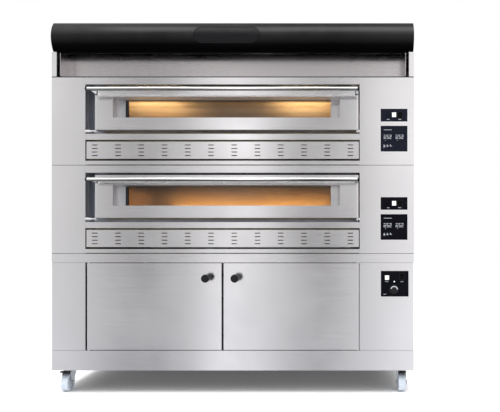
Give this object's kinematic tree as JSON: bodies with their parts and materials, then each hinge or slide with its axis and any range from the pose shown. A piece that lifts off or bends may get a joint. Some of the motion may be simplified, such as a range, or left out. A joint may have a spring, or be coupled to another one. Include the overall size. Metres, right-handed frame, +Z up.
{
  "type": "deck oven",
  "caption": "Two-deck electric baking oven in brushed steel with drop-down windowed doors, a hood with a curved black canopy above and a prover cupboard on castors below.",
  "frame": {"origin": "on the floor, under the middle of the outline", "axes": "+Z up, the front faces -Y, +X to the operator's right"},
  "size_m": [1.64, 1.248, 1.735],
  "materials": {
    "canopy_black": "gloss black paint",
    "stainless": "brushed stainless sheet",
    "polished_steel": "polished",
    "chamber_steel": "heat-stained sheet",
    "galvanised": "galvanised",
    "glass": "clear, warm light behind it",
    "panel_black": "gloss",
    "white_plastic": "gloss",
    "black_plastic": "satin",
    "gear_plastic": "matt",
    "mineral_wool": "soft",
    "stone": "rough",
    "element_steel": "oxidised",
    "lamp_glass": "frosted",
    "zinc": "zinc plated",
    "nylon": "satin"
  },
  "bodies": {
    "oven": {"hood_canopy": "canopy_black", "hood_housing": "stainless", "hood_intake_panel": "stainless", "hood_badge": "canopy_black", "hood_flue_spigot": "galvanised", "upper_casing": "stainless", "upper_fascia": "stainless", "upper_vent_panel": "stainless", "upper_chamber": "chamber_steel", "upper_control_plates": "panel_black", "lower_casing": "stainless", "lower_fascia": "stainless", "lower_vent_panel": "stainless", "lower_chamber": "chamber_steel", "lower_control_plates": "panel_black", "deck_rails": "stainless", "insulation_blocks": "mineral_wool", "stone_floors": "stone", "heating_elements": "element_steel", "chamber_lamps": "lamp_glass", "hinge_pins": "polished_steel", "control_gear": "gear_plastic", "cable_glands": "black_plastic", "prover_casing": "stainless", "prover_fascia": "stainless", "prover_rails": "stainless", "prover_tray_runners": "zinc", "prover_heater": "element_steel", "prover_water_pan": "stainless", "prover_control_plate": "panel_black", "castor_plates": "zinc"},
    "upper_door": {"upper_door_skin": "stainless", "upper_door_liner": "stainless", "upper_door_glass": "glass", "upper_handle": "polished_steel"},
    "upper_light": {"upper_light_button": "white_plastic"},
    "upper_power": {"upper_power_rocker": "black_plastic"},
    "lower_door": {"lower_door_skin": "stainless", "lower_door_liner": "stainless", "lower_door_glass": "glass", "lower_handle": "polished_steel"},
    "lower_light": {"lower_light_button": "white_plastic"},
    "lower_power": {"lower_power_rocker": "black_plastic"},
    "prover_leaf_left": {"prover_door_left": "stainless", "prover_knob_left": "black_plastic"},
    "prover_leaf_right": {"prover_door_right": "stainless", "prover_knob_right": "black_plastic"},
    "prover_light": {"prover_light_switch": "white_plastic"},
    "prover_power": {"prover_power_switch": "black_plastic"},
    "prover_dial": {"prover_thermostat_knob": "black_plastic"},
    "swivel_front_left": {"castor_fork_front_left": "zinc"},
    "wheel_front_left": {"castor_wheel_front_left": "nylon"},
    "swivel_front_right": {"castor_fork_front_right": "zinc"},
    "wheel_front_right": {"castor_wheel_front_right": "nylon"},
    "swivel_rear_left": {"castor_fork_rear_left": "zinc"},
    "wheel_rear_left": {"castor_wheel_rear_left": "nylon"},
    "swivel_rear_right": {"castor_fork_rear_right": "zinc"},
    "wheel_rear_right": {"castor_wheel_rear_right": "nylon"},
    "brake_left": {"brake_pedal_left": "black_plastic"},
    "brake_right": {"brake_pedal_right": "black_plastic"}
  },
  "joints": [
    {"name": "upper_door_hinge", "type": "hinge", "parent": "oven", "child": "upper_door", "pos_m": [-0.029, -0.531, 1.192], "axis": [1, 0, 0], "range_deg": [0, 90]},
    {"name": "upper_light_press", "type": "slide", "parent": "oven", "child": "upper_light", "axis": [0, 1, 0], "range_m": [0, 0.002], "stiffness_N_per_m": 400},
    {"name": "upper_power_tilt", "type": "hinge", "parent": "oven", "child": "upper_power", "pos_m": [0.757, -0.546, 1.262], "axis": [1, 0, 0], "range_deg": [-16, 0]},
    {"name": "lower_door_hinge", "type": "hinge", "parent": "oven", "child": "lower_door", "pos_m": [-0.029, -0.531, 0.792], "axis": [1, 0, 0], "range_deg": [0, 90]},
    {"name": "lower_light_press", "type": "slide", "parent": "oven", "child": "lower_light", "axis": [0, 1, 0], "range_m": [0, 0.002], "stiffness_N_per_m": 400},
    {"name": "lower_power_tilt", "type": "hinge", "parent": "oven", "child": "lower_power", "pos_m": [0.757, -0.546, 0.862], "axis": [1, 0, 0], "range_deg": [-16, 0]},
    {"name": "prover_left_hinge", "type": "hinge", "parent": "oven", "child": "prover_leaf_left", "pos_m": [-0.655, -0.54, 0.3945], "axis": [0, 0, -1], "range_deg": [0, 110]},
    {"name": "prover_right_hinge", "type": "hinge", "parent": "oven", "child": "prover_leaf_right", "pos_m": [0.5655, -0.54, 0.3945], "axis": [0, 0, 1], "range_deg": [0, 110]},
    {"name": "prover_light_press", "type": "slide", "parent": "oven", "child": "prover_light", "axis": [0, 1, 0], "range_m": [0, 0.002], "stiffness_N_per_m": 400},
    {"name": "prover_power_tilt", "type": "hinge", "parent": "oven", "child": "prover_power", "pos_m": [0.766, -0.546, 0.531], "axis": [1, 0, 0], "range_deg": [-16, 0]},
    {"name": "prover_dial_turn", "type": "hinge", "parent": "oven", "child": "prover_dial", "pos_m": [0.728, -0.556, 0.474], "axis": [0, 1, 0], "range_deg": [0, 270]},
    {"name": "swivel_front_left_turn", "type": "hinge", "parent": "oven", "child": "swivel_front_left", "pos_m": [-0.77, -0.466, 0.09], "axis": [0, 0, 1], "continuous": true},
    {"name": "wheel_front_left_roll", "type": "hinge", "parent": "swivel_front_left", "child": "wheel_front_left", "pos_m": [-0.77, -0.496, 0.04], "axis": [1, 0, 0], "continuous": true},
    {"name": "swivel_front_right_turn", "type": "hinge", "parent": "oven", "child": "swivel_front_right", "pos_m": [0.77, -0.466, 0.09], "axis": [0, 0, 1], "continuous": true},
    {"name": "wheel_front_right_roll", "type": "hinge", "parent": "swivel_front_right", "child": "wheel_front_right", "pos_m": [0.77, -0.496, 0.04], "axis": [1, 0, 0], "continuous": true},
    {"name": "swivel_rear_left_turn", "type": "hinge", "parent": "oven", "child": "swivel_rear_left", "pos_m": [-0.77, 0.514, 0.09], "axis": [0, 0, 1], "continuous": true},
    {"name": "wheel_rear_left_roll", "type": "hinge", "parent": "swivel_rear_left", "child": "wheel_rear_left", "pos_m": [-0.77, 0.544, 0.04], "axis": [1, 0, 0], "continuous": true},
    {"name": "swivel_rear_right_turn", "type": "hinge", "parent": "oven", "child": "swivel_rear_right", "pos_m": [0.77, 0.514, 0.09], "axis": [0, 0, 1], "continuous": true},
    {"name": "wheel_rear_right_roll", "type": "hinge", "parent": "swivel_rear_right", "child": "wheel_rear_right", "pos_m": [0.77, 0.544, 0.04], "axis": [1, 0, 0], "continuous": true},
    {"name": "brake_left_press", "type": "hinge", "parent": "swivel_front_left", "child": "brake_left", "pos_m": [-0.77, -0.502, 0.087], "axis": [1, 0, 0], "range_deg": [0, 12], "stiffness_Nm_per_rad": 0.6},
    {"name": "brake_right_press", "type": "hinge", "parent": "swivel_front_right", "child": "brake_right", "pos_m": [0.77, -0.502, 0.087], "axis": [1, 0, 0], "range_deg": [0, 12], "stiffness_Nm_per_rad": 0.6}
  ]
}
